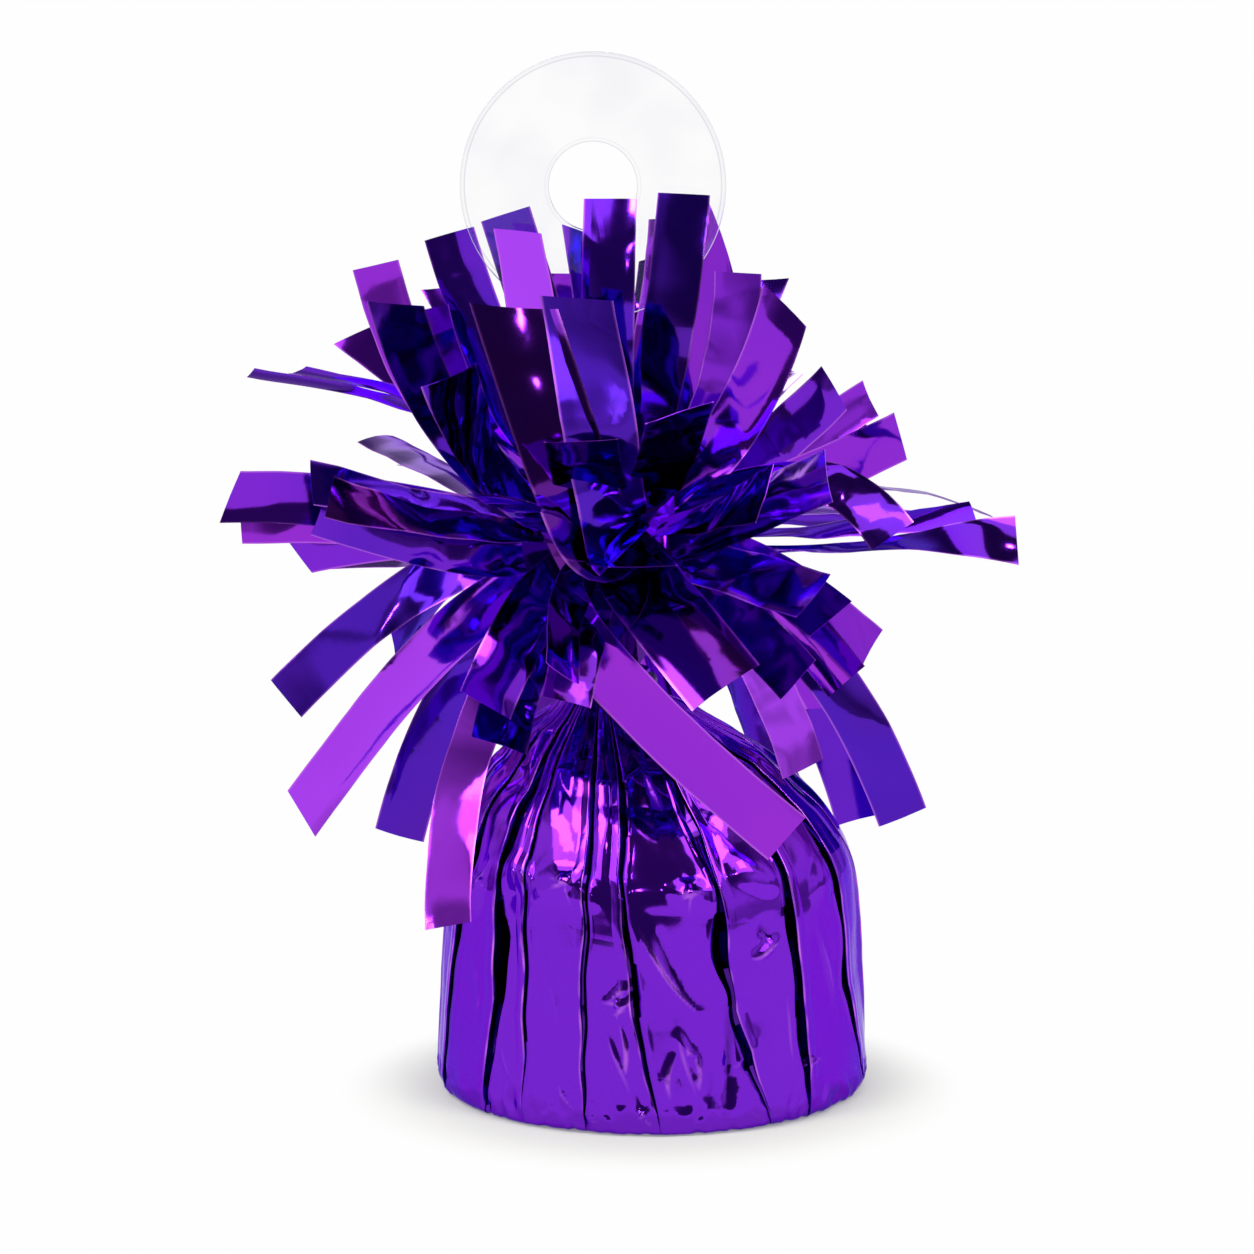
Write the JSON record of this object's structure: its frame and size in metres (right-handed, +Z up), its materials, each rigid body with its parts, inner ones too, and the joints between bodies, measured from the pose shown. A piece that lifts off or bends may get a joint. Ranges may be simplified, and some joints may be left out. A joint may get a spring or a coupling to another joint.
{
  "type": "balloon weight",
  "caption": "Free-standing balloon weight: ballast drum wrapped in pleated purple metallised film, tied at the neck under a burst of film strips, with a clear ring for ribbons.",
  "frame": {"origin": "middle of the flat base that the weight stands on", "axes": "+Z up, +X to the right of the pictured front, which faces -Y"},
  "size_m": [0.1114, 0.1034, 0.1477],
  "materials": {
    "metallised_film": "metallised purple polyester film, mirror gloss, crinkled",
    "cast_ballast": "cast, matt",
    "cup_plastic": "moulded, satin",
    "card": "grey board",
    "elastic_band": "latex, matt",
    "clear_sheet": "clear die-cut polyester sheet, gloss"
  },
  "bodies": {
    "weight": {"foil_wrap": "metallised_film", "film_rosette": "metallised_film", "crown_strips_front": "metallised_film", "crown_strips_left": "metallised_film", "crown_strips_right": "metallised_film", "crown_strips_back": "metallised_film", "upper_strips_left": "metallised_film", "upper_strips_right": "metallised_film", "upper_strips_back": "metallised_film", "middle_strips_left": "metallised_film", "middle_strips_right": "metallised_film", "middle_strips_front": "metallised_film", "middle_strips_back": "metallised_film", "lower_strips_left": "metallised_film", "lower_strips_right": "metallised_film", "lower_strips_front": "metallised_film", "lower_strips_back": "metallised_film", "skirt_strips_left": "metallised_film", "skirt_strips_right": "metallised_film", "skirt_strips_back": "metallised_film", "ballast": "cast_ballast", "weight_cup": "cup_plastic", "closing_disc": "card", "neck_tie": "elastic_band", "ring_stem": "clear_sheet"},
    "ring": {"ribbon_ring": "clear_sheet"}
  },
  "joints": [
    {"name": "ring_flex", "type": "hinge", "parent": "weight", "child": "ring", "pos_m": [-0.00719, 0, 0.09298], "axis": [0.9995, 0, 0.0332], "range_deg": [-10, 10], "stiffness_Nm_per_rad": 0.03}
  ]
}
